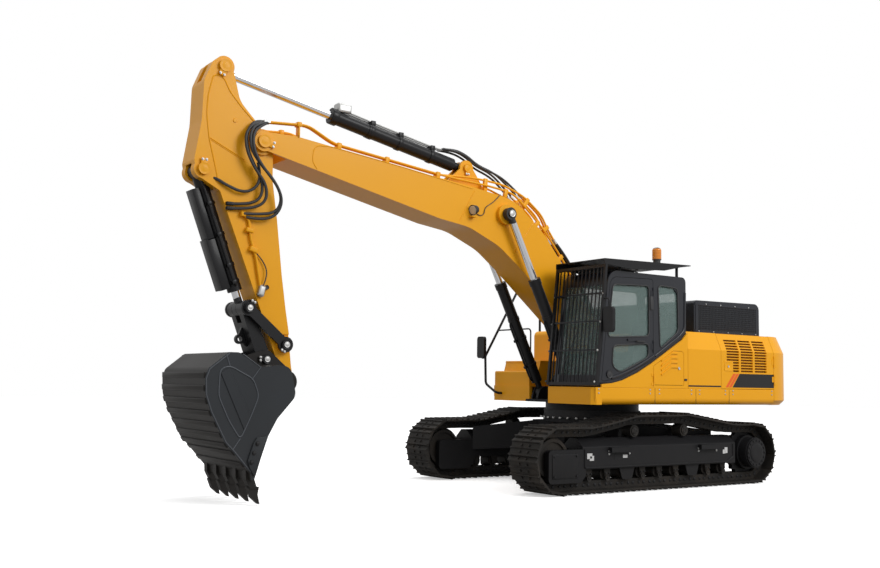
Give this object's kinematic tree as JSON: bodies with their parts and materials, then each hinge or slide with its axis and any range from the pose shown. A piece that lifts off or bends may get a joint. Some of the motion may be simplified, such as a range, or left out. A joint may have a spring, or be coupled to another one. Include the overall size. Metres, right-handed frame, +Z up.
{
  "type": "crawler excavator",
  "caption": "Crawler excavator with guarded cab, rear counterweight, bent boom, long arm and toothed bucket, whose upper structure turns on a tracked undercarriage.",
  "frame": {"origin": "middle of the whole machine's length and width, on the ground", "axes": "+X forward, towards the bucket; +Y to the machine's left, the cab side; +Z up"},
  "size_m": [10.2198, 3.47, 5.5197],
  "materials": {
    "yellow_paint": "satin",
    "dark_paint": "satin",
    "cab_paint": "satin",
    "cast_weight": "satin",
    "track_steel": "rough",
    "forged_steel": "satin",
    "rod_chrome": "polished",
    "window_glass": "clear",
    "seat_fabric": "woven",
    "cab_plastic": "matt",
    "beacon_lens": "gloss"
  },
  "bodies": {
    "undercarriage": {"car_body": "dark_paint", "track_frames": "dark_paint", "track_left": "track_steel", "track_right": "track_steel", "idlers": "track_steel", "sprockets": "dark_paint", "rollers": "track_steel", "slew_ring": "forged_steel"},
    "upper": {"upper_frame": "dark_paint", "side_frames": "yellow_paint", "counterweight": "cast_weight", "engine": "forged_steel", "side_panels": "yellow_paint", "hood_top": "yellow_paint", "tanks": "yellow_paint", "toolbox": "yellow_paint", "handrail": "dark_paint", "cab_shell": "cab_paint", "cab_floor": "dark_paint", "cab_roof": "cab_paint", "cab_glass": "window_glass", "seat": "seat_fabric", "console": "cab_plastic", "front_guard": "dark_paint", "top_guard": "dark_paint", "beacon": "beacon_lens"},
    "cab_door": {"cab_door": "cab_paint", "door_glass": "window_glass"},
    "louvre_door": {"louvre_door": "yellow_paint"},
    "rear_door_left": {"rear_door_left": "yellow_paint"},
    "rear_door_right": {"rear_door_right": "yellow_paint"},
    "engine_hood": {"engine_hood": "dark_paint"},
    "toolbox_lid": {"toolbox_lid": "yellow_paint"},
    "boom": {"boom": "yellow_paint"},
    "boom_barrels": {"boom_cylinder_barrel": "yellow_paint"},
    "boom_rods": {"boom_cylinder_rod": "rod_chrome"},
    "arm": {"arm": "yellow_paint"},
    "arm_barrel": {"arm_cylinder_barrel": "yellow_paint"},
    "arm_rod": {"arm_cylinder_rod": "rod_chrome"},
    "bucket_barrel": {"bucket_cylinder_barrel": "yellow_paint"},
    "bucket_rod": {"bucket_cylinder_rod": "rod_chrome"},
    "rocker": {"rocker": "yellow_paint"},
    "bucket_link": {"bucket_link": "dark_paint"},
    "bucket": {"bucket": "dark_paint"}
  },
  "joints": [
    {"name": "slew", "type": "hinge", "parent": "undercarriage", "child": "upper", "pos_m": [-1.665, 0, 1.09], "axis": [0, 0, 1], "continuous": true},
    {"name": "boom_lift", "type": "hinge", "parent": "upper", "child": "boom", "pos_m": [-1.515, 0, 2.16], "axis": [0, -1, 0], "range_deg": [-50, 44]},
    {"name": "arm_swing", "type": "hinge", "parent": "boom", "child": "arm", "pos_m": [4.24, 0, 4.485], "axis": [0, 1, 0], "range_deg": [-85, 33]},
    {"name": "bucket_curl", "type": "hinge", "parent": "arm", "child": "bucket", "pos_m": [3.795, 0, 1.46], "axis": [0, 1, 0], "range_deg": [0, 150]},
    {"name": "boom_cylinder_pivot", "type": "hinge", "parent": "upper", "child": "boom_barrels", "pos_m": [-0.965, 0, 1.35], "axis": [0, -1, 0], "range_deg": [-43.2, 38.2]},
    {"name": "boom_cylinder_stroke", "type": "slide", "parent": "boom_barrels", "child": "boom_rods", "axis": [0.4533, 0, 0.8913], "range_m": [-0.74, 0.65]},
    {"name": "arm_cylinder_pivot", "type": "hinge", "parent": "boom", "child": "arm_barrel", "pos_m": [0.935, 0, 4.62], "axis": [0, -1, 0], "range_deg": [-2.8, 7.1]},
    {"name": "arm_cylinder_stroke", "type": "slide", "parent": "arm_barrel", "child": "arm_rod", "axis": [0.9809, 0, 0.1946], "range_m": [-1.31, 0.51]},
    {"name": "rocker_pivot", "type": "hinge", "parent": "arm", "child": "rocker", "pos_m": [3.83, 0, 1.93], "axis": [0, 1, 0], "range_deg": [0, 89.6]},
    {"name": "link_pivot", "type": "hinge", "parent": "bucket", "child": "bucket_link", "pos_m": [4.085, 0, 1.74], "axis": [0, 1, 0], "range_deg": [-113.2, 0]},
    {"name": "bucket_cylinder_pivot", "type": "hinge", "parent": "arm", "child": "bucket_barrel", "pos_m": [4.99, 0, 4.045], "axis": [0, 1, 0], "range_deg": [-5.8, 0]},
    {"name": "bucket_cylinder_stroke", "type": "slide", "parent": "bucket_barrel", "child": "bucket_rod", "axis": [-0.3569, 0, -0.9341], "range_m": [0, 0.935]},
    {"name": "cab_door_hinge", "type": "hinge", "parent": "upper", "child": "cab_door", "pos_m": [-1.512, 1.4765, 2.3], "axis": [0, 0, 1], "range_deg": [0, 150]},
    {"name": "louvre_door_hinge", "type": "hinge", "parent": "upper", "child": "louvre_door", "pos_m": [-1.484, 1.506, 1.75], "axis": [0, 0, -1], "range_deg": [0, 120]},
    {"name": "rear_door_left_hinge", "type": "hinge", "parent": "upper", "child": "rear_door_left", "pos_m": [-4.252, 1.506, 1.9], "axis": [0, 0, 1], "range_deg": [0, 110]},
    {"name": "rear_door_right_hinge", "type": "hinge", "parent": "upper", "child": "rear_door_right", "pos_m": [-4.252, -1.506, 1.9], "axis": [0, 0, -1], "range_deg": [0, 110]},
    {"name": "engine_hood_hinge", "type": "hinge", "parent": "upper", "child": "engine_hood", "pos_m": [-4.224, 0, 2.329], "axis": [0, -1, 0], "range_deg": [0, 70]},
    {"name": "toolbox_lid_hinge", "type": "hinge", "parent": "upper", "child": "toolbox_lid", "pos_m": [-1.705, 0, 1.864], "axis": [0, -1, 0], "range_deg": [0, 80]}
  ],
  "couplings": [
    {"joint": "boom_cylinder_pivot", "follows": "boom_lift", "ratio": 0.8543},
    {"joint": "boom_cylinder_stroke", "follows": "boom_lift", "m_per_rad": 0.8434},
    {"joint": "arm_cylinder_pivot", "follows": "arm_swing", "ratio": -0.0828},
    {"joint": "arm_cylinder_stroke", "follows": "arm_swing", "m_per_rad": 0.8821},
    {"joint": "rocker_pivot", "follows": "bucket_curl", "ratio": 0.596},
    {"joint": "link_pivot", "follows": "bucket_curl", "ratio": -0.7527},
    {"joint": "bucket_cylinder_pivot", "follows": "bucket_curl", "ratio": -0.03807},
    {"joint": "bucket_cylinder_stroke", "follows": "bucket_curl", "m_per_rad": 0.3564}
  ]
}
